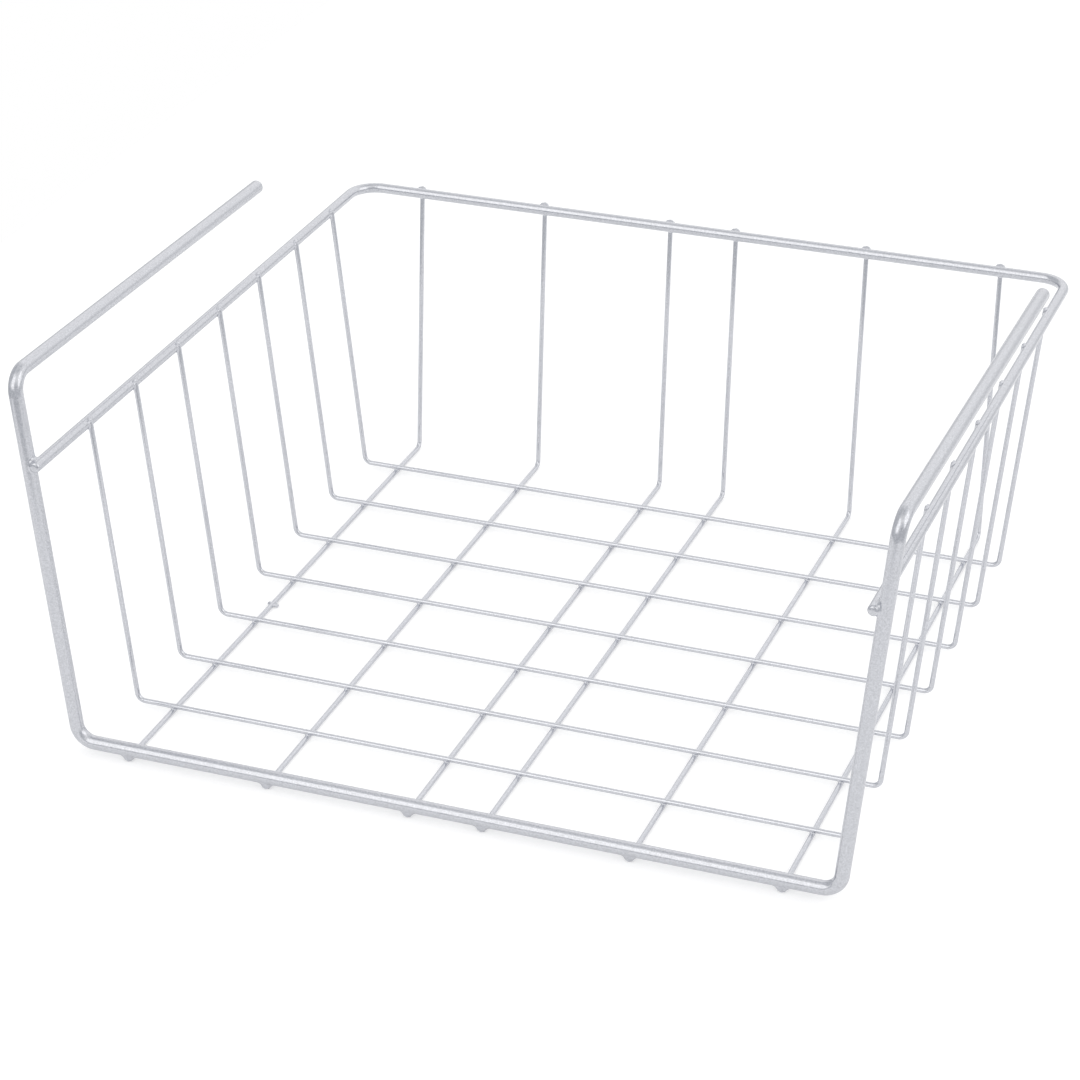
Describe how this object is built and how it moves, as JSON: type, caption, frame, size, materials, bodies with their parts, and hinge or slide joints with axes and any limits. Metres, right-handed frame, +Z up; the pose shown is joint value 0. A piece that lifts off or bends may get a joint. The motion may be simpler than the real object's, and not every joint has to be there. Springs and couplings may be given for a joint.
{
  "type": "under-shelf basket",
  "caption": "Welded wire basket with an open front that hangs below a shelf board by two arms, which slide over the board from its front edge.",
  "frame": {"origin": "middle of the basket's box, on the plane that its floor wires stand on", "axes": "+X to the right along the front rail, +Y from the open front to the back, +Z up towards the shelf"},
  "size_m": [0.3, 0.2697, 0.1402],
  "materials": {
    "hanger_frame": "satin silver powder coat with a fine grain",
    "top_rim": "satin silver powder coat with a fine grain",
    "cross_wires": "satin silver powder coat",
    "floor_wires": "satin silver powder coat"
  },
  "bodies": {
    "root": {"front_hanger_frame": "hanger_frame", "top_rim": "top_rim", "cross_wire_1": "cross_wires", "cross_wire_2": "cross_wires", "cross_wire_3": "cross_wires", "cross_wire_4": "cross_wires", "cross_wire_5": "cross_wires", "cross_wire_6": "cross_wires", "cross_wire_7": "cross_wires", "floor_wire_1": "floor_wires", "floor_wire_2": "floor_wires", "floor_wire_3": "floor_wires", "floor_wire_4": "floor_wires", "floor_wire_5": "floor_wires", "floor_wire_6": "floor_wires"}
  },
  "joints": []
}
